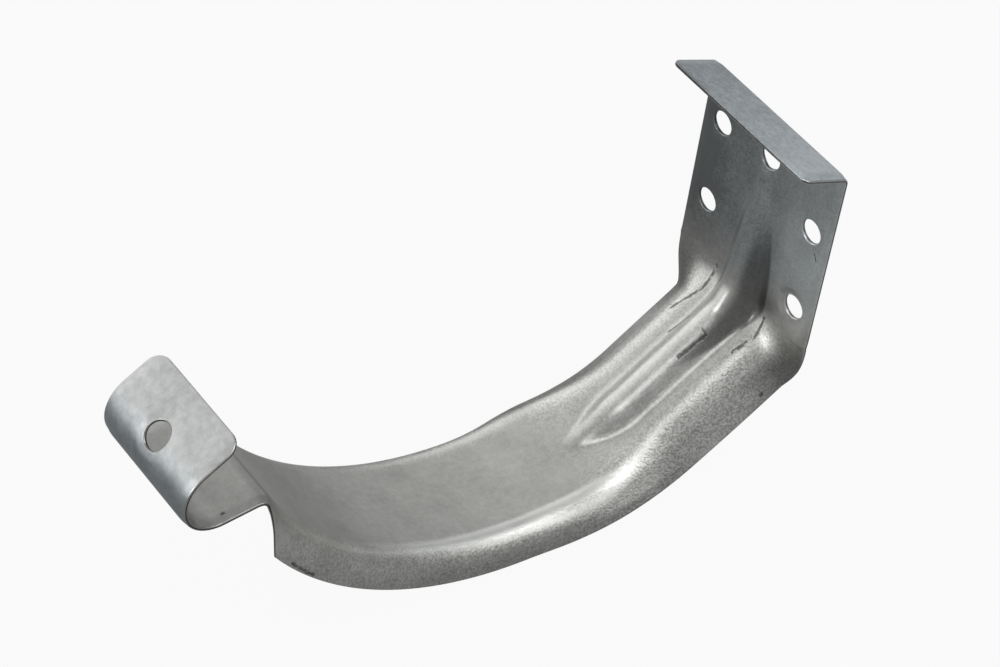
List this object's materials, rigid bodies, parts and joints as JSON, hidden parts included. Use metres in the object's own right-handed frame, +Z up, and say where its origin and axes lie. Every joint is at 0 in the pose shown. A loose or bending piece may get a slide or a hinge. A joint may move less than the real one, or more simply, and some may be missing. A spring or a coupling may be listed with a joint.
{
  "type": "gutter bracket",
  "caption": "Stamped sheet steel bracket that nails to a fascia board and cradles a rain gutter, with a stiffening rib, folded flanges and a curled front hook.",
  "frame": {"origin": "middle of the nail hole group, on the back face of the nail plate", "axes": "+X out of the wall towards the hook, +Z up, Y along the gutter"},
  "size_m": [0.132, 0.037, 0.0763],
  "materials": {
    "galvanised_steel": "satin"
  },
  "bodies": {
    "root": {"bracket": "galvanised_steel"}
  },
  "joints": []
}
